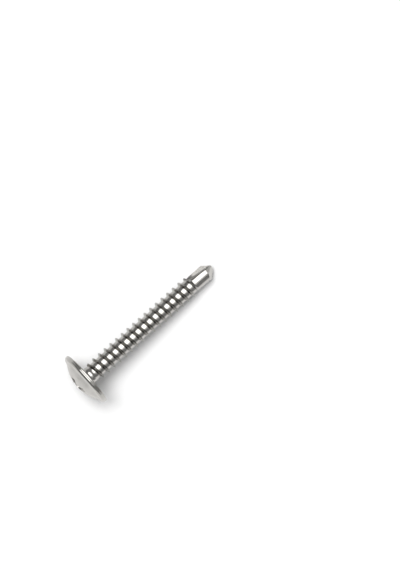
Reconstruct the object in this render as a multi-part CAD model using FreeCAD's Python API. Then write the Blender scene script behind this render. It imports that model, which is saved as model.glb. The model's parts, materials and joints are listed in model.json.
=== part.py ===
"""Self drilling screw with a modified truss (wafer) head, No. 8-18 x 1-1/4 in (ST4.2 x 32).

The screw is one forged and thread-rolled piece. It is modelled along its own axis: the flat
bearing face lies at z = 0, the head rises to -Z and the shank runs to +Z, where the drill point
is. At the end it is laid on its side with the point towards +X. It rests on the head's rim and
on the outer edge of one of the point's heel facets. Millimetres and degrees.
"""
import FreeCAD, Part
import math
import os

# Head
HEAD_DIAMETER = 11.0
HEAD_HEIGHT = 2.5
RIM_THICKNESS = 0.85
RIM_TOP_BEVEL = 0.3
RIM_BOTTOM_BEVEL = 0.2
FLANGE_SLOPE = 13.0
DOME_RADIUS = 7.5
DOME_BLEND_RADIUS = 1.2

# Cross recess, size 2
RECESS_SPAN = 4.4
RECESS_WING_WIDTH = 1.1
RECESS_DEPTH = 2.0
RECESS_END_TAPER = 26.5
RECESS_SIDE_TAPER = 4.0
RECESS_CORE_WIDTH = 1.9
RECESS_CORE_TAPER = 9.0
RECESS_BOTTOM_ANGLE = 28.0
RECESS_ROLL = 59.5

# Shank
LENGTH = 31.0
NECK_DIAMETER = 3.3
NECK_LENGTH = 0.9
NECK_FLARE = 0.5
NECK_TAPER_LENGTH = 0.5
CORE_DIAMETER = 3.0

# Spaced right-hand thread
THREAD_DIAMETER = 4.1
PITCH = 1.41
FLANK_ANGLE = 55.0
THREAD_START = 0.7
THREAD_RUN_IN = 1.7
THREAD_TO_TIP = 4.7
THREAD_RUN_OUT = 1.1
THREAD_ROLL = 132.0

# Drill point
DRILL_DIAMETER = 3.15
DRILL_SHOULDER_TO_TIP = 4.9
DRILL_SHOULDER_LENGTH = 0.4
FLUTE_LENGTH = 5.9
FLUTE_CUTTER_RADIUS = 2.8
FLUTE_VERTEX_OUT = 0.60
FLUTE_VERTEX_SIDE = -0.22
FLUTE_WALL_ANGLE = 59.0
FLUTE_CORNER_ROUND = 0.28
FLUTE_SKEW = 9.0
FLUTE_ROLL = 59.0
LIP_HALF_ANGLE = 42.0
LIP_FACET_ROLL = -18.0
HEEL_HALF_ANGLE = 38.0
HEEL_FACET_ROLL = -70.0
CHISEL_RELIEF = 0.45

# Lying pose: the roll that sets which side faces the floor, and how finely the shank's touch is found
REST_ROLL = 70.5
TOUCH_TOLERANCE = 0.01

# Clearances for cutting tools and for overlaps between solids that are joined
OVERCUT = 1.0
OVERLAP = 0.15

AXIS = FreeCAD.Vector(0, 0, 1)
ORIGIN = FreeCAD.Vector(0, 0, 0)


def sine(degrees):
    return math.sin(math.radians(degrees))


def cosine(degrees):
    return math.cos(math.radians(degrees))


def tangent(degrees):
    return math.tan(math.radians(degrees))


def in_profile(radius, height):
    """A point of a half profile in the XZ plane, its height counted from the bearing face up the head."""
    return FreeCAD.Vector(radius, 0, -height)


def arc_between(start, end, centre):
    """The shorter arc from start to end around centre."""
    reach = (start - centre).Length
    middle = ((start - centre) + (end - centre)).normalize() * reach + centre
    return Part.Arc(start, middle, end).toShape()


def revolved_polygon(points):
    """The solid of revolution of a polygon given as (radius, place along the shank) pairs."""
    corners = [FreeCAD.Vector(radius, 0, along) for radius, along in points]
    return Part.Face(Part.makePolygon(corners + corners[:1])).revolve(ORIGIN, AXIS, 360)


def head_top_edges():
    """Edges from the axis over the dome, down its hollow foot and along the flange to the rim's bevel."""
    radius = HEAD_DIAMETER / 2
    normal = FreeCAD.Vector(sine(FLANGE_SLOPE), 0, -cosine(FLANGE_SLOPE))
    flange_reach = radius * sine(FLANGE_SLOPE) + RIM_THICKNESS * cosine(FLANGE_SLOPE)
    dome_centre = in_profile(0, HEAD_HEIGHT - DOME_RADIUS)

    # the blend's centre is off the flange by its own radius and off the dome's centre by both radii
    to_flange = flange_reach + DOME_BLEND_RADIUS - (HEAD_HEIGHT - DOME_RADIUS) * cosine(FLANGE_SLOPE)
    reach = DOME_RADIUS + DOME_BLEND_RADIUS
    swing = math.degrees(math.acos(to_flange / reach))
    steep = FLANGE_SLOPE + swing
    blend_centre = dome_centre + FreeCAD.Vector(sine(steep), 0, -cosine(steep)) * reach
    dome_end = dome_centre + (blend_centre - dome_centre) * (DOME_RADIUS / reach)
    flange_start = blend_centre - normal * DOME_BLEND_RADIUS

    flange_end = in_profile(radius - RIM_TOP_BEVEL, RIM_THICKNESS + RIM_TOP_BEVEL * tangent(FLANGE_SLOPE))
    return [
        arc_between(in_profile(0, HEAD_HEIGHT), dome_end, dome_centre),
        arc_between(dome_end, flange_start, blend_centre),
        Part.makeLine(flange_start, flange_end),
    ], flange_end


def blank():
    """The forged blank: head, neck, core and the plain stub that becomes the drill point."""
    edges, flange_end = head_top_edges()
    radius = HEAD_DIAMETER / 2
    neck = NECK_DIAMETER / 2
    core = CORE_DIAMETER / 2
    drill = DRILL_DIAMETER / 2
    shoulder = LENGTH - DRILL_SHOULDER_TO_TIP
    outline = [
        flange_end,
        in_profile(radius, RIM_THICKNESS - RIM_TOP_BEVEL),
        in_profile(radius, RIM_BOTTOM_BEVEL),
        in_profile(radius - RIM_BOTTOM_BEVEL, 0),
        in_profile(neck + NECK_FLARE, 0),
        in_profile(neck, -NECK_FLARE),
        in_profile(neck, -NECK_LENGTH),
        in_profile(core, -NECK_LENGTH - NECK_TAPER_LENGTH),
        in_profile(core, -shoulder),
        in_profile(drill, -shoulder - DRILL_SHOULDER_LENGTH),
        in_profile(drill, -LENGTH - OVERCUT),
        in_profile(0, -LENGTH - OVERCUT),
        in_profile(0, HEAD_HEIGHT),
    ]
    edges += [Part.makeLine(start, end) for start, end in zip(outline, outline[1:])]
    return Part.Face(Part.Wire(edges)).revolve(ORIGIN, AXIS, 360)


def thread():
    """The rolled ridge: a sharp triangle swept along a right-hand helix, fading out at both ends."""
    core = CORE_DIAMETER / 2
    crest = THREAD_DIAMETER / 2
    foot = core - OVERLAP
    half_foot = (crest - foot) * tangent(FLANK_ANGLE / 2)
    end = LENGTH - THREAD_TO_TIP
    first = THREAD_START - PITCH
    helix = Part.makeLongHelix(PITCH, end + PITCH - first, core, 0)
    helix.translate(FreeCAD.Vector(0, 0, first))
    corners = [
        FreeCAD.Vector(foot, 0, first - half_foot),
        FreeCAD.Vector(crest, 0, first),
        FreeCAD.Vector(foot, 0, first + half_foot),
    ]
    sweep = Part.BRepOffsetAPI.MakePipeShell(Part.Wire(helix.Edges))
    sweep.setFrenetMode(True)
    sweep.add(Part.makePolygon(corners + corners[:1]))
    sweep.build()
    sweep.makeSolid()
    ridge = Part.Solid(sweep.shape())
    ridge.rotate(ORIGIN, AXIS, THREAD_ROLL)

    # the envelope stands clear of the full crest and cuts only the ends, along a cone at each
    clear = crest + OVERLAP
    envelope = revolved_polygon([
        (0, THREAD_START),
        (core, THREAD_START),
        (clear, THREAD_START + THREAD_RUN_IN),
        (clear, end - THREAD_RUN_OUT),
        (core, end),
        (0, end),
    ])
    return ridge.common(envelope)


def flute_section(outward, sideways, base, reach):
    """The cutter's profile: two straight walls meeting in a rounded corner, open outwards up to reach."""
    def place(out, side):
        return base + outward * out + sideways * side

    half_open = (reach - FLUTE_VERTEX_OUT) * tangent(FLUTE_WALL_ANGLE)
    centre_out = FLUTE_VERTEX_OUT + FLUTE_CORNER_ROUND / sine(FLUTE_WALL_ANGLE)
    touch_out = centre_out - FLUTE_CORNER_ROUND * sine(FLUTE_WALL_ANGLE)
    touch_side = FLUTE_CORNER_ROUND * cosine(FLUTE_WALL_ANGLE)
    left_open = place(reach, FLUTE_VERTEX_SIDE - half_open)
    left_touch = place(touch_out, FLUTE_VERTEX_SIDE - touch_side)
    bottom = place(centre_out - FLUTE_CORNER_ROUND, FLUTE_VERTEX_SIDE)
    right_touch = place(touch_out, FLUTE_VERTEX_SIDE + touch_side)
    right_open = place(reach, FLUTE_VERTEX_SIDE + half_open)
    return Part.Face(Part.Wire([
        Part.makeLine(left_open, left_touch),
        Part.Arc(left_touch, bottom, right_touch).toShape(),
        Part.makeLine(right_touch, right_open),
        Part.makeLine(right_open, left_open),
    ]))


def flute_cutter():
    """The space of one flute: a groove, skewed right-handed, that a disc cutter leaves in an arc."""
    outward = FreeCAD.Vector(cosine(FLUTE_ROLL), sine(FLUTE_ROLL), 0)
    around = AXIS.cross(outward)
    along = AXIS * cosine(FLUTE_SKEW) + around * sine(FLUTE_SKEW)
    sideways = along.cross(outward)
    run_out = math.sqrt(
        FLUTE_CUTTER_RADIUS ** 2
        - (FLUTE_CUTTER_RADIUS - (DRILL_DIAMETER / 2 - FLUTE_VERTEX_OUT)) ** 2
    )
    straight = (FLUTE_LENGTH - run_out) / cosine(FLUTE_SKEW)
    base = FreeCAD.Vector(0, 0, LENGTH) - along * straight + around * (straight * sine(FLUTE_SKEW) / 2)
    cutter_out = FLUTE_VERTEX_OUT + FLUTE_CUTTER_RADIUS
    groove_out = max(cutter_out, THREAD_DIAMETER)
    groove = flute_section(outward, sideways, base, groove_out)
    disc = flute_section(outward, sideways, base, cutter_out)
    disc_centre = base + outward * cutter_out
    return groove.extrude(along * (straight + 2 * OVERCUT)), disc.revolve(disc_centre, sideways, 360)


def point_facet(half_angle, roll, raised):
    """A large block whose flat face is one ground facet of the point; what it covers is taken away."""
    size = 2 * (DRILL_DIAMETER + LENGTH)
    block = Part.makeBox(size, size, size, FreeCAD.Vector(-size / 2, -size / 2, 0))
    normal = FreeCAD.Vector(
        cosine(half_angle) * cosine(roll),
        cosine(half_angle) * sine(roll),
        sine(half_angle),
    )
    turn = FreeCAD.Rotation(AXIS, normal)
    block.Placement = FreeCAD.Placement(FreeCAD.Vector(0, 0, LENGTH + raised), turn)
    return block


def point_cutters():
    """All that is taken off the stub to leave the drill point: two flutes and two pairs of facets."""
    cutters = list(flute_cutter())
    cutters.append(point_facet(LIP_HALF_ANGLE, LIP_FACET_ROLL, 0))
    cutters.append(point_facet(HEEL_HALF_ANGLE, HEEL_FACET_ROLL, CHISEL_RELIEF))
    opposite = [cutter.copy() for cutter in cutters]
    for cutter in opposite:
        cutter.rotate(ORIGIN, AXIS, 180)
    return cutters + opposite


def recess_wing():
    """One pair of opposite wings: a blade that narrows towards its bottom in span and in thickness."""
    top = RECESS_DEPTH + OVERCUT
    half_span = RECESS_SPAN / 2
    half_width = RECESS_WING_WIDTH / 2
    floor = in_profile(0, HEAD_HEIGHT - RECESS_DEPTH)

    def rectangle(rise):
        span = half_span + (rise - RECESS_DEPTH) * tangent(RECESS_END_TAPER)
        width = half_width + (rise - RECESS_DEPTH) * tangent(RECESS_SIDE_TAPER)
        centre = floor - AXIS * rise
        corners = [
            centre + FreeCAD.Vector(x, y, 0)
            for x, y in ((span, width), (-span, width), (-span, -width), (span, -width))
        ]
        return Part.makePolygon(corners + corners[:1])

    return Part.makeLoft([rectangle(0), rectangle(top)], True, True)


def recess_core():
    """The square middle of the recess, which eases the wings' inner corners, and its cone bottom."""
    top = RECESS_DEPTH + OVERCUT
    floor = in_profile(0, HEAD_HEIGHT - RECESS_DEPTH)

    def square(rise):
        half = RECESS_CORE_WIDTH / 2 + (rise - RECESS_DEPTH) * tangent(RECESS_CORE_TAPER)
        centre = floor - AXIS * rise
        corners = [
            centre + FreeCAD.Vector(x, y, 0)
            for x, y in ((half, half), (-half, half), (-half, -half), (half, -half))
        ]
        return Part.makePolygon(corners + corners[:1])

    prism = Part.makeLoft([square(0), square(top)], True, True)
    prism.rotate(ORIGIN, AXIS, 45)
    foot = RECESS_CORE_WIDTH / 2 - RECESS_DEPTH * tangent(RECESS_CORE_TAPER)
    cone = Part.makeCone(foot, 0, foot * tangent(RECESS_BOTTOM_ANGLE), floor, AXIS)
    return [prism, cone]


def recess():
    """The whole cross recess as one cutting solid."""
    wing = recess_wing()
    crossing = recess_wing()
    crossing.rotate(ORIGIN, AXIS, 90)
    cross = wing.multiFuse([crossing] + recess_core())
    cross.rotate(ORIGIN, AXIS, RECESS_ROLL)
    return cross


def laid_down(screw):
    """Turn the screw on its side, point towards +X, and dip it until both rim and shank touch."""
    screw.rotate(ORIGIN, AXIS, REST_ROLL)
    rim = HEAD_DIAMETER / 2
    shank = [point for point in screw.tessellate(TOUCH_TOLERANCE)[0] if point.z > NECK_LENGTH]
    tilt = min(math.atan2(rim - point.x, point.z + RIM_BOTTOM_BEVEL) for point in shank)
    screw.rotate(ORIGIN, FreeCAD.Vector(0, 1, 0), 90 + math.degrees(tilt))
    box = screw.optimalBoundingBox(False, False)
    screw.translate(FreeCAD.Vector(-box.Center.x, -box.Center.y, -box.ZMin))
    return screw


def screw():
    """The finished screw."""
    body = blank().fuse(thread())
    for cutter in point_cutters() + [recess()]:
        body = body.cut(cutter)
    body = body.removeSplitter()
    return laid_down(body.Solids[0])


def main():
    os.makedirs("parts", exist_ok=True)
    screw().exportStep("parts/screw.step")


main()
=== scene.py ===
"""Self drilling screw as it is looked at: the lying screw's fine surface, its bright steel and a studio.

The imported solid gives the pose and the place. The surface that is shown is worked out again at a finer
grain: rolled rim and crests, the thread, the milled flutes and the ground point. It is made in the
screw's own frame, in millimetres, with the bearing face at z = 0, the head towards -Z and the point
towards +Z, and is then laid into the row frame, in metres.
"""
from __future__ import annotations

import json
import logging
import math
from dataclasses import dataclass, field
from enum import Enum
from typing import Any, Iterable, Mapping

import bpy
import numpy as np
from mathutils import Matrix, Vector


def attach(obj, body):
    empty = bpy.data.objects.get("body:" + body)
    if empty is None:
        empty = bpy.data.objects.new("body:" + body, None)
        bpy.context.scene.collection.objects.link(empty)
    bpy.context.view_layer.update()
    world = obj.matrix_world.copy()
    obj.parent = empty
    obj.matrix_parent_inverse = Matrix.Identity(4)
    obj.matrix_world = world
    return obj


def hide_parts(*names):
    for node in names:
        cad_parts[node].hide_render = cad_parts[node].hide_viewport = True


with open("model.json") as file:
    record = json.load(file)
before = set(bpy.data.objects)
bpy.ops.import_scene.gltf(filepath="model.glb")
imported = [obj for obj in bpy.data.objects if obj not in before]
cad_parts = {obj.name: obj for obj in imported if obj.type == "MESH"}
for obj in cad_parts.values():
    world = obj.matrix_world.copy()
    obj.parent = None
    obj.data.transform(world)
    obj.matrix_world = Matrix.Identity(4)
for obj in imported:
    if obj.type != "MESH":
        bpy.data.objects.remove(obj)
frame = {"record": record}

Array = np.ndarray
LOG = logging.getLogger("screw")

MILLIMETRE = 0.001
FULL_TURN = 2.0 * math.pi
HALF_TURN = math.pi
BODY = "root"
NODE = "screw"


class SurfaceValue(Enum):
    """Values that the steel reads from the surface, by the name of their mesh attribute."""

    OWN_PLACE = "own_mm"
    SATIN = "satin"
    # painted shade: share of a darker colour on the thread's flanks
    FLANK_SHADE = "flank_shade"


def tangent(degrees: float) -> float:
    """Return the tangent of an angle given in degrees."""
    return math.tan(math.radians(degrees))


def smooth_step(low: float, high: float, value: Array) -> Array:
    """Blend from 0 at low to 1 at high with level ends.

    Args:
        low: value where the blend starts.
        high: value where the blend is complete.
        value: values to blend.

    Returns:
        The blend share of each value.
    """
    share = np.clip((value - low) / (high - low), 0.0, 1.0)
    return share * share * (3.0 - 2.0 * share)


def rounded_corner(start: tuple[float, float], corner: tuple[float, float],
                   end: tuple[float, float], count: int) -> Array:
    """Round a corner with a parabola: weights (1-t)^2, 2t(1-t) and t^2 on its three points.

    Args:
        start: (radius, height) where the corner begins.
        corner: (radius, height) of the sharp corner.
        end: (radius, height) where the corner ends.
        count: number of points, ends included.

    Returns:
        The points, one row each.
    """
    share = np.linspace(0.0, 1.0, count)[:, None]
    first, middle, last = (np.asarray(point, float) for point in (start, corner, end))
    return (1 - share) ** 2 * first + 2 * share * (1 - share) * middle + share ** 2 * last


def polar_points(angle: Array, radius: Array, along: Array) -> Array:
    """Turn angle, radius and place along the axis into points of the screw's own frame."""
    return np.stack([radius * np.cos(angle), radius * np.sin(angle), along], axis=-1)


def linear_colour(code: str) -> tuple[float, float, float, float]:
    """Turn an sRGB hex colour into linear RGBA.

    Args:
        code: colour such as "#D3D1CD".

    Returns:
        Linear red, green, blue and an alpha of 1.
    """
    parts = [int(code[place:place + 2], 16) / 255.0 for place in (1, 3, 5)]
    linear = [part / 12.92 if part <= 0.04045 else ((part + 0.055) / 1.055) ** 2.4 for part in parts]
    return linear[0], linear[1], linear[2], 1.0


@dataclass(frozen=True)
class Placement:
    """Where the lying screw's own frame sits in the row frame.

    Attributes:
        dip: how far the point dips below the level, in radians.
        bearing_centre_mm: centre of the bearing face in the row frame.
        roll_deg: turn about the screw's axis before it is laid down.
    """

    dip: float
    bearing_centre_mm: tuple[float, float, float]
    roll_deg: float = 70.5

    @classmethod
    def from_record(cls, record: Mapping[str, Any]) -> "Placement":
        """Read the pose from the record's bearing face, which looks along the shank.

        Args:
            record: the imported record.

        Returns:
            The placement.
        """
        mount = next(mount for mount in record["mounts"] if mount["name"] == "bearing_face")
        x, _, z = (coordinate / MILLIMETRE for coordinate in mount["pos_m"])
        return cls(dip=math.asin(-mount["axis"][2]), bearing_centre_mm=(x, 0.0, z))

    def matrix(self) -> Array:
        """Return the 3 by 3 turn: the roll about Z, then a quarter turn and the dip about Y."""
        roll = Matrix.Rotation(math.radians(self.roll_deg), 3, "Z")
        lay = Matrix.Rotation(HALF_TURN / 2 + self.dip, 3, "Y")
        return np.array(lay @ roll)

    def to_row(self, points: Array) -> Array:
        """Lay points of the own frame, in millimetres, into the row frame, in metres."""
        return (points @ self.matrix().T + np.array(self.bearing_centre_mm)) * MILLIMETRE


@dataclass(frozen=True)
class Patch:
    """A lattice of points, rows along the screw and columns around it; the last column closes on the first.

    Attributes:
        points: rows by columns by 3, own frame, millimetres.
        satin: rows by columns, 0 for bright and 1 for satin metal.
        flank_shade: rows by columns, the share of painted shade, 0 for plain surface and 1 on the thread's
            flanks.
    """

    points: Array
    satin: Array
    flank_shade: Array

    @classmethod
    def bright(cls, points: Array, flank_shade: Array | float = 0.0) -> "Patch":
        """Make a patch of bright metal."""
        return cls(points, np.zeros(points.shape[:2]), np.broadcast_to(flank_shade, points.shape[:2]))


@dataclass(frozen=True)
class Lattice:
    """The columns that all patches share, so that their borders meet point for point.

    Attributes:
        columns: columns around the screw.
        chisel_column: column that follows the chisel edge of the point.
        edge_column: column that follows a flute's far edge.
        first_angle_deg: angle of column 0 where nothing bends the columns.
    """

    columns: int = 144
    chisel_column: int = 30
    edge_column: int = 48
    first_angle_deg: float = -3.0

    @property
    def half(self) -> int:
        """Columns in half a turn."""
        return self.columns // 2

    @property
    def quarter(self) -> int:
        """Columns in a quarter turn."""
        return self.columns // 4

    @property
    def step_deg(self) -> float:
        """Angle from one column to the next where nothing bends the columns."""
        return 360.0 / self.columns

    def straight_angles(self) -> Array:
        """Return the angle of each column, without the closing one, in radians."""
        return np.radians(self.first_angle_deg + self.step_deg * np.arange(self.columns))


@dataclass(frozen=True)
class RecessForm:
    """The size 2 cross recess: four tapered wings round a square core with a cone bottom. Millimetres."""

    span: float = 4.4
    wing_width: float = 1.1
    depth: float = 2.0
    end_taper_deg: float = 26.5
    side_taper_deg: float = 4.0
    core_width: float = 1.9
    core_taper_deg: float = 9.0
    bottom_angle_deg: float = 28.0
    roll_deg: float = 59.5
    lip_width: float = 0.12
    lip_inner_width: float = 0.02
    lip_drop: float = 0.04
    lip_satin: float = 0.5
    wing_share: float = 1.0 / 6.0
    side_share: float = 0.25

    @property
    def foot(self) -> float:
        """Half width of the core at the recess floor."""
        return self.core_width / 2 - self.depth * tangent(self.core_taper_deg)

    def outline(self, rise: Array, lattice: Lattice) -> Array:
        """Work out the cross-shaped section, one point per column.

        Each quarter runs from the middle of one wing's end, round its corner, along its side to the
        core, across the core, and out again along the next wing. Every stretch gets a fixed share of
        the quarter's columns, and its points divide it evenly.

        Args:
            rise: height over the recess floor for each column.
            lattice: the shared columns.

        Returns:
            x and y for each column.
        """
        above = rise - self.depth
        span = self.span / 2 + above * tangent(self.end_taper_deg)
        width = self.wing_width / 2 + above * tangent(self.side_taper_deg)
        core = self.core_width / 2 + above * tangent(self.core_taper_deg)
        inner = core * math.sqrt(2.0) - width
        middle = np.zeros_like(span)
        corner_x = np.stack([span, span, inner, width, width, middle])
        corner_y = np.stack([middle, width, width, inner, span, span])

        shares = np.cumsum([0.0, self.wing_share, self.side_share, self.wing_share, self.side_share])
        knots = np.append(shares, 1.0) * lattice.quarter
        column = np.roll(np.arange(lattice.columns), self.first_column(lattice))
        place = column % lattice.quarter
        stretch = np.searchsorted(knots, place + 0.5, side="right") - 1
        part = (place - knots[stretch]) / (knots[stretch + 1] - knots[stretch])
        each = np.arange(lattice.columns)
        x = corner_x[stretch, each] * (1 - part) + corner_x[stretch + 1, each] * part
        y = corner_y[stretch, each] * (1 - part) + corner_y[stretch + 1, each] * part

        turn = np.radians(self.roll_deg + 90.0 * (column // lattice.quarter))
        return np.stack([x * np.cos(turn) - y * np.sin(turn), x * np.sin(turn) + y * np.cos(turn)], axis=1)

    def first_column(self, lattice: Lattice) -> int:
        """Return the column that lies on the middle of the first wing."""
        return round((self.roll_deg - lattice.first_angle_deg) / lattice.step_deg)


@dataclass(frozen=True)
class HeadRings:
    """How many rings each stretch of the head gets, from the recess floor out and round to the neck."""

    floor: int = 7
    wall: int = 7
    mouth: int = 9
    crown: int = 18
    shoulder: int = 12
    seam: int = 13
    under: int = 8
    bearing: int = 7
    fillet: int = 6


@dataclass(frozen=True)
class HeadForm:
    """The modified truss head: dome, hollow foot, sloped flange, rim and flat underside. Millimetres."""

    diameter: float = 11.0
    height: float = 2.5
    rim_thickness: float = 0.85
    flange_slope_deg: float = 13.0
    dome_radius: float = 7.5
    blend_radius: float = 1.2
    neck_radius: float = 1.65
    neck_flare: float = 0.5
    mouth_ring_radius: float = 2.75
    rim_shoulder_width: float = 0.35
    rim_shoulder: tuple[float, float] = (5.44, 0.70)
    rim_upper_band: tuple[float, float] = (5.46, 0.58)
    rim_bottom_round: float = 0.25
    seam_height: float = 0.42
    seam_reach: float = 0.09
    seam_depth: float = 0.04
    wall_top: float = 0.97
    mouth_steps: int = 30
    recess: RecessForm = field(default_factory=RecessForm)
    rings: HeadRings = field(default_factory=HeadRings)

    def top(self, radius: Array) -> Array:
        """Give the head's height over the bearing face.

        A sphere makes the dome, a hollow arc that touches both the foot, and a cone the flange.

        Args:
            radius: distance from the axis.

        Returns:
            The height at each radius.
        """
        slope = math.radians(self.flange_slope_deg)
        rim = self.diameter / 2
        dome_centre = self.height - self.dome_radius
        flange_reach = rim * math.sin(slope) + self.rim_thickness * math.cos(slope)
        reach = self.dome_radius + self.blend_radius
        gap = flange_reach + self.blend_radius - dome_centre * math.cos(slope)
        steep = slope + math.acos(gap / reach)
        blend_radius = reach * math.sin(steep)
        blend_height = dome_centre + reach * math.cos(steep)
        dome_end = self.dome_radius * math.sin(steep)
        flange_start = blend_radius - self.blend_radius * math.sin(slope)

        dome = dome_centre + np.sqrt(np.maximum(self.dome_radius ** 2 - radius ** 2, 0.0))
        hollow = np.sqrt(np.maximum(self.blend_radius ** 2 - (radius - blend_radius) ** 2, 0.0))
        flange = self.rim_thickness + (rim - radius) * math.tan(slope)
        outer = np.where(radius < flange_start, blend_height - hollow, flange)
        return np.where(radius < dome_end, dome, outer)

    def patch(self, lattice: Lattice) -> Patch:
        """Build the head from the recess floor out over the top and the rim to the neck.

        Args:
            lattice: the shared columns.

        Returns:
            The head's patch.
        """
        rings = self.recess_rings(lattice) + self.top_rings(lattice) + self.turned_rings(lattice)
        closed = np.stack([np.concatenate([points, points[:1]]) for points, _ in rings])
        satin = np.repeat(np.array([value for _, value in rings])[:, None], lattice.columns + 1, axis=1)
        return Patch(closed, satin, np.zeros_like(satin))

    def recess_rings(self, lattice: Lattice) -> list[tuple[Array, float]]:
        """Build the recess, from its middle over the floor and up the walls.

        Args:
            lattice: the shared columns.

        Returns:
            The points and the satin share of each ring.
        """
        recess = self.recess
        floor = self.height - recess.depth
        base = recess.outline(np.zeros(lattice.columns), lattice)
        rings = []
        for share in np.linspace(0.0, 1.0, self.rings.floor):
            flat = base * share
            hollow = np.maximum(recess.foot - np.hypot(flat[:, 0], flat[:, 1]), 0.0)
            rings.append((self.raised(flat, floor - hollow * tangent(recess.bottom_angle_deg)), 0.0))
        mouth = self.mouth_rise(lattice)
        for share in np.linspace(0.0, self.wall_top, self.rings.wall)[1:]:
            wall = recess.outline(mouth * share, lattice)
            rings.append((self.raised(wall, floor + mouth * share), 0.0))
        return rings

    def mouth_rise(self, lattice: Lattice) -> Array:
        """Find by repeated substitution where the recess wall meets the dome.

        Args:
            lattice: the shared columns.

        Returns:
            The height over the recess floor, for each column.
        """
        rise = np.full(lattice.columns, self.recess.depth)
        for _ in range(self.mouth_steps):
            flat = self.recess.outline(rise, lattice)
            rise = self.recess.depth - self.height + self.top(np.hypot(flat[:, 0], flat[:, 1]))
        return rise

    def top_rings(self, lattice: Lattice) -> list[tuple[Array, float]]:
        """Build the dome's middle, from the recess mouth's pressed lip out to the first round ring.

        Args:
            lattice: the shared columns.

        Returns:
            The points and the satin share of each ring.
        """
        mouth = self.recess.outline(self.mouth_rise(lattice), lattice)
        distance = np.hypot(mouth[:, 0], mouth[:, 1])[:, None]
        lip = mouth * (1 + self.recess.lip_width / distance)
        sunk = mouth * (1 + self.recess.lip_inner_width / distance)
        angles = lattice.straight_angles()
        circle = self.mouth_ring_radius * np.stack([np.cos(angles), np.sin(angles)], axis=1)
        pressed = self.top(distance[:, 0]) - self.recess.lip_drop
        rings = [(self.raised(sunk, pressed), self.recess.lip_satin)]
        for share in np.linspace(0.0, 1.0, self.rings.mouth):
            flat = lip * (1 - share) + circle * share
            rings.append((self.raised(flat, self.top(np.hypot(flat[:, 0], flat[:, 1]))), 1.0))
        return rings

    def turned_rings(self, lattice: Lattice) -> list[tuple[Array, float]]:
        """Build the round rings: dome, flange, rim with its die seam, underside and neck fillet.

        The seam is a hollow round the rim, one wave of a cosine deep, where the two dies met.

        Args:
            lattice: the shared columns.

        Returns:
            The points and the satin share of each ring.
        """
        rim = self.diameter / 2
        flange_end = rim - self.rim_shoulder_width
        underside_end = rim - self.rim_bottom_round
        neck_start = self.neck_radius + self.neck_flare

        radii = np.linspace(self.mouth_ring_radius, flange_end, self.rings.crown)[1:]
        meridian = [(radius, height, 1.0) for radius, height in zip(radii, self.top(radii))]
        shoulder = rounded_corner((flange_end, float(self.top(np.array(flange_end)))),
                                  self.rim_shoulder, self.rim_upper_band, self.rings.shoulder)
        off = np.linspace(-1.0, 1.0, self.rings.seam)
        lip = np.interp(off, [-1.0, 1.0], [self.rim_upper_band[0], rim])
        seam = np.stack([lip - self.seam_depth * (1 + np.cos(HALF_TURN * off)) / 2,
                         self.seam_height - self.seam_reach * off], axis=1)
        under = rounded_corner((rim, self.rim_bottom_round), (rim, 0.0), (underside_end, 0.0),
                               self.rings.under)
        bearing = np.linspace([underside_end, 0.0], [neck_start, 0.0], self.rings.bearing)
        fillet_corner = (self.neck_radius + self.neck_flare / 4, -self.neck_flare / 5)
        fillet = rounded_corner((neck_start, 0.0), fillet_corner, (self.neck_radius, -self.neck_flare),
                                self.rings.fillet)
        bright = np.concatenate([shoulder[1:], seam, under, bearing[1:], fillet[1:]])
        meridian += [(radius, height, 0.0) for radius, height in bright]

        angles = lattice.straight_angles()
        circle = np.stack([np.cos(angles), np.sin(angles)], axis=1)
        return [(self.raised(radius * circle, height), satin) for radius, height, satin in meridian]

    @staticmethod
    def raised(flat: Array, height: Array | float) -> Array:
        """Put flat points at a height over the bearing face, which is towards -Z."""
        return np.concatenate([flat, -np.broadcast_to(height, (len(flat),))[:, None]], axis=1)


@dataclass(frozen=True)
class ThreadForm:
    """The spaced right-hand thread, a ridge with a rolled crest that fades out at both ends.

    Lengths are in millimetres. The row steps are places from a crest to the middle of the next gap.
    """

    crest_radius: float = 2.05
    core_radius: float = 1.5
    pitch: float = 1.41
    flank_deg: float = 55.0
    start: float = 0.7
    run_in: float = 1.7
    end: float = 26.3
    run_out: float = 1.1
    roll_deg: float = 132.0
    crest_round: float = 0.03
    overlap: float = 0.15
    row_steps: tuple[float, ...] = (0.0, 0.025, 0.07, 0.13, 0.20, 0.27, 0.34, 0.50, 0.705)
    spare_turns: int = 3

    def turns(self, along: Array, angle: Array) -> Array:
        """Count the thread's turns from its first crest; a whole number is on a crest."""
        return (along - self.first) / self.pitch - (angle - math.radians(self.roll_deg)) / FULL_TURN

    @property
    def first(self) -> float:
        """Place along the axis of the crest's first turn, one pitch before the thread shows."""
        return self.start - self.pitch

    def ridge(self, along: Array, angle: Array) -> Array:
        """Give the ridge's radius: a wedge with a hyperbola for a crest, cut by a cone at each end.

        Args:
            along: place along the axis.
            angle: angle around it, in radians.

        Returns:
            The ridge's radius, which falls below the core between two crests.
        """
        turn = self.turns(along, angle)
        off = self.pitch * (turn - np.round(turn))
        fall = np.sqrt(off ** 2 + self.crest_round ** 2) - self.crest_round
        wedge = self.crest_radius - fall / tangent(self.flank_deg / 2)
        clear = self.crest_radius + self.overlap
        knots = [self.start, self.start + self.run_in, self.end - self.run_out, self.end]
        cones = np.interp(along, knots, [self.core_radius, clear, clear, self.core_radius])
        return np.minimum(wedge, cones)


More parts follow.
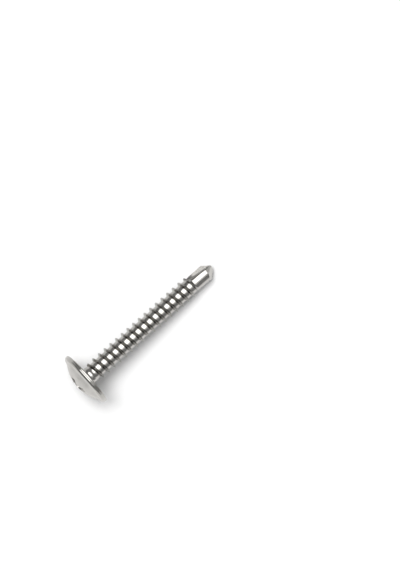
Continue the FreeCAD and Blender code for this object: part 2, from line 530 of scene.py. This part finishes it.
@dataclass(frozen=True)
class FluteForm:
    """One of the point's two flutes, a skewed groove that a disc cutter leaves in an arc. Millimetres."""

    length: float = 5.9
    cutter_radius: float = 2.8
    vertex_out: float = 0.60
    vertex_side: float = -0.22
    wall_deg: float = 59.0
    corner_round: float = 0.28
    skew_deg: float = 9.0
    roll_deg: float = 59.0
    tip: float = 31.0
    drill_radius: float = 1.575
    halvings: int = 30

    def depth(self, radius: Array, angle: Array, along: Array) -> Array:
        """Say how far a place lies inside the groove, counted outwards from its surface.

        The groove's section is two straight walls that meet in a rounded corner. It is straight
        towards the tip, and before its start it follows the cutter's rim, a circle.

        Args:
            radius: distance from the axis.
            angle: angle around it, in radians.
            along: place along the axis.

        Returns:
            A positive depth inside the groove and a negative one in the metal.
        """
        roll = math.radians(self.roll_deg)
        skew = math.radians(self.skew_deg)
        rise = self.drill_radius - self.vertex_out
        run_out = math.sqrt(self.cutter_radius ** 2 - (self.cutter_radius - rise) ** 2)
        straight = (self.length - run_out) / math.cos(skew)
        out = radius * np.cos(angle - roll)
        side = radius * np.sin(angle - roll) + straight * math.sin(skew) / 2
        ahead = along - (self.tip - straight * math.cos(skew))
        forward = ahead * math.cos(skew) + side * math.sin(skew)
        across = side * math.cos(skew) - ahead * math.sin(skew)

        cutter_out = self.vertex_out + self.cutter_radius
        out = np.where(forward < 0, cutter_out - np.hypot(cutter_out - out, forward), out)
        wall = math.radians(self.wall_deg)
        off = np.abs(across - self.vertex_side)
        corner_out = self.vertex_out + self.corner_round / math.sin(wall)
        corner = corner_out - np.sqrt(np.maximum(self.corner_round ** 2 - off ** 2, 0.0))
        walls = self.vertex_out + off / math.tan(wall)
        return out - np.where(off < self.corner_round * math.cos(wall), corner, walls)

    def limit(self, angle: Array, along: Array) -> Array:
        """Find the radius at which a ray from the axis enters a flute, by halving an interval.

        Args:
            angle: angle of each ray, in radians.
            along: place of each ray along the axis.

        Returns:
            The radius, or a large one where the ray meets no flute.
        """
        outside = 2.0 * self.drill_radius
        reach = 1.5 * self.drill_radius
        nearest = np.full(np.broadcast(angle, along).shape, outside)
        for turn in (0.0, HALF_TURN):
            low = np.zeros_like(nearest)
            high = np.full_like(nearest, reach)
            open_ray = self.depth(high, angle - turn, along) > 0
            for _ in range(self.halvings):
                middle = (low + high) / 2
                inside = self.depth(middle, angle - turn, along) > 0
                high = np.where(inside, middle, high)
                low = np.where(inside, low, middle)
            nearest = np.where(open_ray, np.minimum(nearest, high), nearest)
        return nearest


@dataclass(frozen=True)
class PointForm:
    """The ground point: two lip and two heel facets that leave a chisel edge. Millimetres and degrees."""

    tip: float = 31.0
    lip_half_deg: float = 42.0
    lip_roll_deg: float = -18.0
    heel_half_deg: float = 38.0
    heel_roll_deg: float = -70.0
    chisel_relief: float = 0.45

    @property
    def chisel_angle(self) -> float:
        """Angle of the chisel edge, across the lip facets, in radians."""
        return math.radians(self.lip_roll_deg + 90.0)

    def height(self, radius: Array, angle: Array) -> Array:
        """Give the facets' place along the axis, the lowest of the four planes.

        Args:
            radius: distance from the axis.
            angle: angle around it, in radians.

        Returns:
            The place along the axis of the ground surface.
        """
        lowest = np.full(np.broadcast(radius, angle).shape, np.inf)
        facets = ((self.lip_half_deg, self.lip_roll_deg, 0.0),
                  (self.heel_half_deg, self.heel_roll_deg, self.chisel_relief))
        for half_deg, roll_deg, raised in facets:
            for turn in (0.0, HALF_TURN):
                fall = radius * np.cos(angle - math.radians(roll_deg) - turn) / tangent(half_deg)
                lowest = np.minimum(lowest, self.tip + raised - fall)
        return lowest


@dataclass(frozen=True)
class ShankForm:
    """Neck, core, thread, flutes and point as one surface around the axis.

    Lengths are in millimetres and the fan's reach, half the angle searched for a flute, in radians.
    """

    tip: float = 31.0
    start: float = 0.5
    neck_radius: float = 1.65
    neck_length: float = 0.9
    neck_taper: float = 0.5
    core_radius: float = 1.5
    drill_radius: float = 1.575
    shoulder: float = 26.1
    shoulder_length: float = 0.4
    root_round: float = 0.05
    # painted shade on the thread's flanks, rising with the ridge over the body
    flank_shade_rise: tuple[float, float] = (0.0, 0.2)
    # painted highlight: the crest line keeps part of the lighter colour
    crest_highlight_rise: tuple[float, float] = (0.44, 0.53)
    crest_highlight_share: float = 0.7
    bend_start: float = 24.2
    bend_end: float = 25.8
    drill_start: float = 26.65
    fan_reach: float = 1.45
    fan_rays: int = 1161
    edge_inset: float = 0.5
    edge_places: int = 160
    helix_steps: int = 8
    ground_reach: float = 3.0
    ground_halvings: int = 40
    stub_rows: int = 42
    facet_rows: int = 17
    thread: ThreadForm = field(default_factory=ThreadForm)
    flute: FluteForm = field(default_factory=FluteForm)
    point: PointForm = field(default_factory=PointForm)

    def body(self, along: Array) -> Array:
        """Give the radius of the plain neck, core and stub under the thread.

        Args:
            along: place along the axis.

        Returns:
            The radius at each place.
        """
        knots = [0.0, self.neck_length, self.neck_length + self.neck_taper, self.shoulder,
                 self.shoulder + self.shoulder_length, self.tip]
        radii = [self.neck_radius, self.neck_radius, self.core_radius, self.core_radius,
                 self.drill_radius, self.drill_radius]
        return np.interp(along, knots, radii)

    def radius(self, angle: Array, along: Array) -> Array:
        """Give the shank's radius: the greater of body and thread, eased at the root, within the flutes.

        Args:
            angle: angle around the axis, in radians.
            along: place along it.

        Returns:
            The radius of the outer surface.
        """
        body = self.body(along)
        ridge = self.thread.ridge(along, angle)
        eased = (body + ridge + np.sqrt((body - ridge) ** 2 + self.root_round ** 2)) / 2
        eased = np.minimum(eased, np.maximum(body, self.thread.crest_radius))
        threaded = (along > self.thread.start) & (along < self.thread.end)
        return np.minimum(np.where(threaded, eased, body), self.flute.limit(angle, along))

    def flute_edges(self, along: Array) -> tuple[Array, Array]:
        """Find the angles at which the flute opens and closes on the plain body.

        Args:
            along: places along the axis.

        Returns:
            The angles of both edges, in radians.
        """
        grid = np.linspace(self.tip - self.flute.length + self.edge_inset, self.tip, self.edge_places)
        fan = math.radians(self.flute.roll_deg) + np.linspace(-self.fan_reach, self.fan_reach, self.fan_rays)
        inside = self.flute.depth(self.body(grid)[:, None], fan[None, :], grid[:, None]) > 0
        opening = fan[inside.argmax(axis=1)]
        closing = fan[::-1][inside[:, ::-1].argmax(axis=1)]
        place = np.clip(along, grid[0], grid[-1])
        return np.interp(place, grid, opening), np.interp(place, grid, closing)

    def angles(self, along: Array, lattice: Lattice) -> Array:
        """Give the angle of every column, bent near the point onto the chisel and the flute's edges.

        Args:
            along: place along the axis, columns last.
            lattice: the shared columns.

        Returns:
            The angle of each column at each place, in radians.
        """
        chisel = self.point.chisel_angle
        step = math.radians(lattice.step_deg)
        straight_opening = chisel - lattice.chisel_column * step
        straight_closing = chisel + (lattice.edge_column - lattice.chisel_column) * step
        bend = smooth_step(self.bend_start, self.bend_end, along)
        opening, closing = self.flute_edges(along)
        opening = straight_opening + (opening - straight_opening) * bend
        closing = straight_closing + (closing - straight_closing) * bend

        column = np.broadcast_to(np.arange(along.shape[-1]), along.shape)
        place = column % lattice.half
        before = place / lattice.chisel_column
        between = (place - lattice.chisel_column) / (lattice.edge_column - lattice.chisel_column)
        after = (place - lattice.edge_column) / (lattice.half - lattice.edge_column)
        angle = np.where(place < lattice.chisel_column, opening + (chisel - opening) * before,
                         np.where(place < lattice.edge_column, chisel + (closing - chisel) * between,
                                  closing + (opening + HALF_TURN - closing) * after))
        return angle + (column // lattice.half) * HALF_TURN

    def thread_patch(self, lattice: Lattice) -> Patch:
        """Build neck and thread in rows that follow the helix, so that each crest is one row.

        Args:
            lattice: the shared columns.

        Returns:
            The patch from the neck to the drill point.
        """
        thread = self.thread
        step = np.array(thread.row_steps)
        one_turn = np.concatenate([step, thread.pitch - step[1:-1][::-1]]) / thread.pitch
        last_turn = int((thread.end - thread.first) / thread.pitch) + thread.spare_turns
        whole_turns = np.arange(-thread.spare_turns, last_turn)
        turns = (whole_turns[:, None] + one_turn[None, :]).ravel()[:, None]
        along = thread.first + thread.pitch * np.repeat(turns, lattice.columns + 1, axis=1)
        for _ in range(self.helix_steps):
            angle = self.angles(np.clip(along, self.start, self.drill_start), lattice)
            wound = (angle - math.radians(thread.roll_deg)) / FULL_TURN
            along = thread.first + thread.pitch * (turns + wound)
        along = np.clip(along, self.start, self.drill_start)
        angle = self.angles(along, lattice)
        radius = self.radius(angle, along)
        rise = radius - self.body(along)
        # painted highlight: less painted shade on the crest line, which stays lighter
        crest = self.crest_highlight_share * smooth_step(*self.crest_highlight_rise, rise)
        # painted shade: the flanks' share of the darker colour
        flank_shade = smooth_step(*self.flank_shade_rise, rise) * (1.0 - crest)
        return Patch.bright(polar_points(angle, radius, along), flank_shade)

    def ground_edge(self, lattice: Lattice) -> Array:
        """Find by halving an interval where the screw's side meets the ground facets.

        Args:
            lattice: the shared columns.

        Returns:
            The place along the axis, for each column.
        """
        low = np.full(lattice.columns + 1, self.tip - self.ground_reach)
        high = np.full(lattice.columns + 1, self.tip)
        for _ in range(self.ground_halvings):
            middle = (low + high) / 2
            angle = self.angles(middle, lattice)
            side = np.minimum(self.body(middle), self.flute.limit(angle, middle))
            above = self.point.height(side, angle) > middle
            low = np.where(above, middle, low)
            high = np.where(above, high, middle)
        return (low + high) / 2

    def point_patches(self, lattice: Lattice) -> list[Patch]:
        """Build the fluted stub down to the edge of its facets, and the facets themselves.

        Args:
            lattice: the shared columns.

        Returns:
            The stub's patch and the facets' patch.
        """
        edge = self.ground_edge(lattice)
        share = np.linspace(0.0, 1.0, self.stub_rows)[:, None]
        along = self.drill_start + share * (edge[None, :] - self.drill_start)
        angle = self.angles(along, lattice)
        radius = self.radius(angle, along)
        stub = polar_points(angle, radius, along)

        inwards = radius[-1][None, :] * np.linspace(1.0, 0.0, self.facet_rows)[:, None]
        around = np.broadcast_to(angle[-1], inwards.shape)
        facets = polar_points(around, inwards, self.point.height(inwards, around))
        facets[0] = stub[-1]
        return [Patch.bright(stub), Patch.bright(facets)]


@dataclass(frozen=True)
class Surface:
    """A closed triangle surface with the values that its finish reads.

    Attributes:
        points: own frame, millimetres.
        triangles: three point numbers each, seen anticlockwise from outside.
        satin: 0 for bright and 1 for satin metal, per point.
        flank_shade: the share of painted shade, 0 for plain surface and 1 on the thread's flanks, per point.
    """

    points: Array
    triangles: Array
    satin: Array
    flank_shade: Array

    @classmethod
    def joined(cls, patches: list[Patch], grain_mm: float = 5e-5) -> "Surface":
        """Join patches into one surface: points nearer than the grain become one, empty triangles go.

        Args:
            patches: lattices whose borders meet.
            grain_mm: how near two points must be to be the same.

        Returns:
            The closed surface.
        """
        cells = []
        offset = 0
        for patch in patches:
            rows, columns = patch.satin.shape
            row, column = np.meshgrid(np.arange(rows - 1), np.arange(columns - 1), indexing="ij")
            corner = (offset + row * columns + column).ravel()
            cells.append(np.stack([corner, corner + 1, corner + columns + 1, corner + columns], axis=1))
            offset += rows * columns
        points = np.concatenate([patch.points.reshape(-1, 3) for patch in patches])
        satin = np.concatenate([patch.satin.ravel() for patch in patches])
        flank_shade = np.concatenate([patch.flank_shade.ravel() for patch in patches])
        grid = np.round(points / grain_mm).astype(np.int64)
        _, first, number = np.unique(grid, axis=0, return_index=True, return_inverse=True)

        corners = number.ravel()[np.concatenate(cells)]
        triangles = np.concatenate([corners[:, [0, 1, 2]], corners[:, [0, 2, 3]]])
        full = (triangles != np.roll(triangles, 1, axis=1)).all(axis=1)
        return cls(points[first], triangles[full], satin[first], flank_shade[first])


@dataclass(frozen=True)
class ScrewModel:
    """The whole screw: its forms, the shared lattice and the mesh made of them."""

    head: HeadForm = field(default_factory=HeadForm)
    shank: ShankForm = field(default_factory=ShankForm)
    lattice: Lattice = field(default_factory=Lattice)
    sharp_edge_deg: float = 35.0

    def surface(self) -> Surface:
        """Return the closed surface of head, thread, stub and facets."""
        patches = [self.head.patch(self.lattice), self.shank.thread_patch(self.lattice)]
        return Surface.joined(patches + self.shank.point_patches(self.lattice))

    def build(self, placement: Placement, finish: bpy.types.Material) -> bpy.types.Object:
        """Make the screw's object, lying in the row frame.

        Args:
            placement: the lying pose.
            finish: the steel.

        Returns:
            The new object, at the origin, with its place in its mesh.
        """
        surface = self.surface()
        mesh = bpy.data.meshes.new("screw_surface")
        mesh.from_pydata(placement.to_row(surface.points).tolist(), [], surface.triangles.tolist())
        own = mesh.attributes.new(SurfaceValue.OWN_PLACE.value, "FLOAT_VECTOR", "POINT")
        own.data.foreach_set("vector", surface.points.astype(np.float32).ravel())
        for value, shares in ((SurfaceValue.SATIN, surface.satin), (SurfaceValue.FLANK_SHADE, surface.flank_shade)):
            layer = mesh.attributes.new(value.value, "FLOAT", "POINT")
            layer.data.foreach_set("value", shares.astype(np.float32))
        mesh.shade_smooth()
        mesh.set_sharp_from_angle(angle=math.radians(self.sharp_edge_deg))
        mesh.materials.append(finish)
        return add_object("screw_body", mesh)


def add_object(name: str, data: bpy.types.ID) -> bpy.types.Object:
    """Make an object of its data and put it in the scene."""
    holder = bpy.data.objects.new(name, data)
    bpy.context.scene.collection.objects.link(holder)
    return holder


def add_node(material: bpy.types.ID, kind: str, settings: Mapping[str, Any] | None = None,
             inputs: Mapping[str, Any] | None = None) -> bpy.types.Node:
    """Add one node with its settings and its inputs, which are plain values or sockets to link.

    Args:
        material: material or world whose node tree gets the node.
        kind: the node's type.
        settings: values of the node's own properties.
        inputs: values or sockets for its input sockets.

    Returns:
        The new node.
    """
    node = material.node_tree.nodes.new(kind)
    for name, value in (settings or {}).items():
        setattr(node, name, value)
    for name, value in (inputs or {}).items():
        socket = node.inputs[name]
        if isinstance(value, bpy.types.NodeSocket):
            material.node_tree.links.new(value, socket)
        else:
            socket.default_value = value
    return node


def add_noise(material: bpy.types.Material, place: bpy.types.NodeSocket, scale: float,
              detail: float = 2.0) -> bpy.types.NodeSocket:
    """Add a noise and return the socket that gives its share.

    Args:
        material: material whose node tree gets the noise.
        place: socket with the place that the noise is read at.
        scale: noise cells per unit of that place.
        detail: how many finer layers the noise has.

    Returns:
        The share's socket.
    """
    return add_node(material, "ShaderNodeTexNoise", {},
                    {"Vector": place, "Scale": scale, "Detail": detail}).outputs["Fac"]


def empty_material(name: str) -> bpy.types.Material:
    """Make a material with an empty node tree."""
    material = bpy.data.materials.new(name)
    material.use_nodes = True
    material.node_tree.nodes.clear()
    return material


@dataclass(frozen=True)
class SteelFinish:
    """Case-hardened steel, cold forged and thread rolled, then bright plated and tumbled.

    Attributes:
        bright_colours: reflection of rolled and ground faces, where clean and where duller.
        satin_colours: reflection of the forged head top, where clean and where duller.
        flank_shade_colours: painted shade on the thread's flanks, a darker reflection, where clean and where
            duller.
        bright_roughness: least and most roughness of rolled and ground faces.
        satin_roughness: least and most roughness of the forged head top.
        streak_mm: spacing along the axis of the fine marks that run around the screw.
        streak_reach_mm: how far a mark runs before it changes.
        blotch_mm: size of the duller patches.
        dent_mm: spacing of the dents left by tumbling.
        dent_height_mm: height of those dents.
        noise_range: shares between which nearly all of a noise lies.
    """

    bright_colours: tuple[str, str] = ("#BCBAB6", "#A6A4A0")
    satin_colours: tuple[str, str] = ("#D0CECA", "#B4B2AE")
    # painted shade: darker colours for the thread's flanks
    flank_shade_colours: tuple[str, str] = ("#A4A29E", "#918F8B")
    bright_roughness: tuple[float, float] = (0.08, 0.18)
    satin_roughness: tuple[float, float] = (0.34, 0.46)
    streak_mm: float = 0.05
    streak_reach_mm: float = 1.4
    streak_detail: float = 3.0
    blotch_mm: float = 1.6
    blotch_detail: float = 4.0
    dent_mm: float = 0.16
    dent_height_mm: float = 0.0016
    noise_range: tuple[float, float] = (0.3, 0.7)

    def build(self) -> bpy.types.Material:
        """Build the steel: mirror-like on thread and point, pale and satin on the forged head top."""
        steel = empty_material("steel_bright_plated")
        place, satin, flank_shade = (add_node(steel, "ShaderNodeAttribute", {"attribute_name": value.value})
                               for value in SurfaceValue)
        around = 1.0 / self.streak_reach_mm
        # rolling and forging leave fine rings around the axis, which break the long reflections up
        rings = (around, around, 1.0 / self.streak_mm)
        ringed = add_node(steel, "ShaderNodeMapping", {}, {"Vector": place.outputs["Vector"], "Scale": rings})
        streak = add_noise(steel, ringed.outputs["Vector"], 1.0, self.streak_detail)
        # uneven plating shows as faint duller patches
        blotch = add_noise(steel, place.outputs["Vector"], 1.0 / self.blotch_mm, self.blotch_detail)
        # tumbling dents give the highlights an uneven edge
        dent = add_noise(steel, place.outputs["Vector"], 1.0 / self.dent_mm)

        # painted shade: the thread's flanks get a darker colour, so that each turn draws a darker line, and
        # the crest stays lighter as a painted highlight
        bright_colour, satin_colour, flank_shade_colour = (
            self.mixed_colour(steel, blotch, map(linear_colour, colours))
            for colours in (self.bright_colours, self.satin_colours, self.flank_shade_colours))
        colour = self.mixed_colour(steel, satin.outputs["Fac"], (bright_colour, satin_colour))
        colour = self.mixed_colour(steel, flank_shade.outputs["Fac"], (colour, flank_shade_colour))
        # the mean of both noises makes the roughness uneven
        worn = add_node(steel, "ShaderNodeMix", {"data_type": "FLOAT"},
                        {"Factor": 0.5, "A": streak, "B": blotch})
        bright, dull = (self.roughness_range(steel, worn.outputs[0], ends)
                        for ends in (self.bright_roughness, self.satin_roughness))
        roughness = add_node(steel, "ShaderNodeMix", {"data_type": "FLOAT"},
                             {"Factor": satin.outputs["Fac"], "A": bright, "B": dull})
        bump = add_node(steel, "ShaderNodeBump", {},
                        {"Strength": 1.0, "Distance": self.dent_height_mm * MILLIMETRE, "Height": dent})
        shader = add_node(steel, "ShaderNodeBsdfPrincipled", {},
                          {"Base Color": colour, "Metallic": 1.0,
                           "Roughness": roughness.outputs[0], "Normal": bump.outputs["Normal"]})
        add_node(steel, "ShaderNodeOutputMaterial", {}, {"Surface": shader.outputs["BSDF"]})
        return steel

    @staticmethod
    def mixed_colour(steel: bpy.types.Material, share: bpy.types.NodeSocket,
                     ends: Iterable[Any]) -> bpy.types.NodeSocket:
        """Mix two colours, plain or from sockets, by a share.

        Args:
            steel: the material.
            share: socket that gives 0 for the first colour and 1 for the second.
            ends: both colours.

        Returns:
            The socket that gives the mixed colour.
        """
        mix = add_node(steel, "ShaderNodeMix", {"data_type": "RGBA"}, {"Factor": share})
        for name, end in zip(("A_Color", "B_Color"), ends):
            socket = next(socket for socket in mix.inputs if socket.identifier == name)
            if isinstance(end, bpy.types.NodeSocket):
                steel.node_tree.links.new(end, socket)
            else:
                socket.default_value = end
        return next(socket for socket in mix.outputs if socket.identifier == "Result_Color")

    def roughness_range(self, steel: bpy.types.Material, share: bpy.types.NodeSocket,
                        ends: tuple[float, float]) -> bpy.types.NodeSocket:
        """Spread a noise over a range of roughness.

        Args:
            steel: the material.
            share: socket that gives the noise.
            ends: least and most roughness.

        Returns:
            The socket that gives the roughness.
        """
        names = ("From Min", "From Max", "To Min", "To Max")
        spread = add_node(steel, "ShaderNodeMapRange", {},
                          {"Value": share, **dict(zip(names, self.noise_range + ends))})
        return spread.outputs["Result"]


@dataclass(frozen=True)
class PaperFinish:
    """White seamless paper, matte, with a fine grain that keeps it from looking like plastic."""

    colour: str = "#F8F8F8"
    roughness: float = 0.5
    grain_mm: float = 0.8
    grain_height_mm: float = 0.02
    grain_strength: float = 0.3

    def build(self) -> bpy.types.Material:
        """Build the paper."""
        paper = empty_material("paper_white_seamless")
        place = add_node(paper, "ShaderNodeTexCoord")
        grain = add_noise(paper, place.outputs["Object"], 1.0 / (self.grain_mm * MILLIMETRE))
        bump = add_node(paper, "ShaderNodeBump", {},
                        {"Strength": self.grain_strength, "Distance": self.grain_height_mm * MILLIMETRE,
                         "Height": grain})
        shader = add_node(paper, "ShaderNodeBsdfDiffuse", {},
                          {"Color": linear_colour(self.colour), "Roughness": self.roughness,
                           "Normal": bump.outputs["Normal"]})
        add_node(paper, "ShaderNodeOutputMaterial", {}, {"Surface": shader.outputs["BSDF"]})
        return paper


@dataclass(frozen=True)
class ClothFinish:
    """Grey studio cloth, which gives bright metal something dark to reflect."""

    colour: str = "#A8A8A8"

    def build(self) -> bpy.types.Material:
        """Build the cloth."""
        cloth = empty_material("cloth_grey_studio")
        shader = add_node(cloth, "ShaderNodeBsdfDiffuse", {}, {"Color": linear_colour(self.colour)})
        add_node(cloth, "ShaderNodeOutputMaterial", {}, {"Surface": shader.outputs["BSDF"]})
        return cloth


@dataclass(frozen=True)
class Softbox:
    """A square soft lamp that faces the object.

    Attributes:
        name: the lamp's name.
        place_m: centre of the lamp, in the row frame.
        width_m: side of its square.
        radiance: brightness of its face, where 1 is white.
    """

    name: str
    place_m: tuple[float, float, float]
    width_m: float
    radiance: float

    def build(self) -> bpy.types.Object:
        """Build the lamp, whose power is its radiance times pi times its area."""
        lamp = bpy.data.lights.new(self.name, "AREA")
        lamp.shape = "SQUARE"
        lamp.size = self.width_m
        lamp.energy = self.radiance * math.pi * self.width_m ** 2
        holder = add_object(self.name, lamp)
        holder.location = self.place_m
        holder.rotation_euler = Vector(self.place_m).to_track_quat("Z", "Y").to_euler()
        return holder


@dataclass(frozen=True)
class DarkRing:
    """A band of grey cloth around the set, between the overhead light and the paper.

    It is a zone of a sphere that only reflections see, and gives the steel its dark bands.
    """

    radius_m: float = 0.22
    top_deg: float = 40.0
    bottom_deg: float = 90.0
    rows: int = 8
    columns: int = 48

    def build(self) -> bpy.types.Object:
        """Build the band: points at the radius, at angles from straight up and around."""
        down, around = np.meshgrid(np.radians(np.linspace(self.top_deg, self.bottom_deg, self.rows)),
                                   np.linspace(0.0, FULL_TURN, self.columns, endpoint=False), indexing="ij")
        points = self.radius_m * polar_points(around, np.sin(down), np.cos(down))
        row, column = np.meshgrid(np.arange(self.rows - 1), np.arange(self.columns), indexing="ij")
        corner, beside = ((row * self.columns + (column + step) % self.columns).ravel() for step in (0, 1))
        cells = np.stack([corner, corner + self.columns, beside + self.columns, beside], axis=1)
        mesh = bpy.data.meshes.new("studio_dark_ring")
        mesh.from_pydata(points.reshape(-1, 3).tolist(), [], cells.tolist())
        mesh.materials.append(ClothFinish().build())
        ring = add_object("studio_dark_ring", mesh)
        ring.visible_camera = False
        ring.visible_diffuse = False
        ring.visible_shadow = False
        return ring


@dataclass(frozen=True)
class Studio:
    """White paper under soft light, with grey cloth around it and a white room beyond.

    The side lamp gives the shadow its direction and doesn't show in the steel.
    """

    floor_width_m: float = 8.0
    paper: PaperFinish = field(default_factory=PaperFinish)
    ring: DarkRing = field(default_factory=DarkRing)
    overhead: Softbox = Softbox("softbox_overhead", (0.0, 0.22, 1.0), 1.25, 2.15)
    side: Softbox = Softbox("softbox_side", (-0.03, 0.35, 0.95), 0.46, 7.5)
    room_fill: float = 0.05

    def build(self) -> None:
        """Build the floor, the dark ring, the lamps and the room."""
        self.floor()
        self.ring.build()
        self.overhead.build()
        self.side.build().visible_glossy = False
        self.room()

    def floor(self) -> bpy.types.Object:
        """Build the sheet of paper that the screw lies on."""
        half = self.floor_width_m / 2
        mesh = bpy.data.meshes.new("studio_paper")
        corners = [(-half, -half, 0.0), (half, -half, 0.0), (half, half, 0.0), (-half, half, 0.0)]
        mesh.from_pydata(corners, [], [(0, 1, 2, 3)])
        mesh.materials.append(self.paper.build())
        return add_object("studio_paper", mesh)

    def room(self) -> None:
        """Build the room: white to the eye and in reflections, and a dim fill for everything else."""
        world = bpy.data.worlds.new("studio_room")
        world.use_nodes = True
        world.node_tree.nodes.clear()
        bpy.context.scene.world = world
        path = add_node(world, "ShaderNodeLightPath")
        seen = path.outputs["Is Camera Ray"]
        for name in ("Is Glossy Ray", "Is Transmission Ray"):
            both = add_node(world, "ShaderNodeMath", {"operation": "MAXIMUM"})
            world.node_tree.links.new(seen, both.inputs[0])
            world.node_tree.links.new(path.outputs[name], both.inputs[1])
            seen = both.outputs[0]
        strength = add_node(world, "ShaderNodeMapRange", {},
                            {"Value": seen, "To Min": self.room_fill, "To Max": 1.0})
        shader = add_node(world, "ShaderNodeBackground", {},
                          {"Color": (1.0, 1.0, 1.0, 1.0), "Strength": strength.outputs["Result"]})
        add_node(world, "ShaderNodeOutputWorld", {}, {"Surface": shader.outputs["Background"]})


@dataclass(frozen=True)
class PhotoCamera:
    """The photograph's camera, straight above the set.

    Attributes:
        aim_mm: place on the floor at the middle of the picture.
        distance_mm: height over the floor.
        turn_deg: turn of the picture against the row frame's X.
        pixels_per_mm: scale of the picture on the floor.
        picture_height_px: longer side of the picture, which the sensor's width spans.
        sensor_mm: the sensor's width.
        clip_start_m: how near the camera sees.
    """

    aim_mm: tuple[float, float] = (12.75, -1.02)
    distance_mm: float = 650.0
    turn_deg: float = -41.6
    pixels_per_mm: float = 5.384
    picture_height_px: int = 570
    sensor_mm: float = 36.0
    clip_start_m: float = 0.01

    def build(self) -> bpy.types.Object:
        """Build the camera and make it the scene's."""
        data = bpy.data.cameras.new("photo_camera")
        data.sensor_width = self.sensor_mm
        data.lens = self.pixels_per_mm * self.distance_mm * self.sensor_mm / self.picture_height_px
        data.clip_start = self.clip_start_m
        holder = add_object("photo_camera", data)
        holder.location = Vector((*self.aim_mm, self.distance_mm)) * MILLIMETRE
        holder.rotation_euler = (0.0, 0.0, math.radians(self.turn_deg))
        bpy.context.scene.camera = holder
        return holder


def main() -> None:
    """Build the camera, the screw and the studio, in that order."""
    logging.basicConfig(level=logging.INFO, format="%(name)s: %(message)s")
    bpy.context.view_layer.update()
    PhotoCamera().build()

    screw = ScrewModel().build(Placement.from_record(frame["record"]), SteelFinish().build())
    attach(screw, BODY)
    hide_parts(NODE)
    LOG.info("%s: %d triangles", screw.name, len(screw.data.polygons))

    Studio().build()
    bpy.context.scene.view_settings.view_transform = "Standard"


if __name__ == "__main__":
    main()
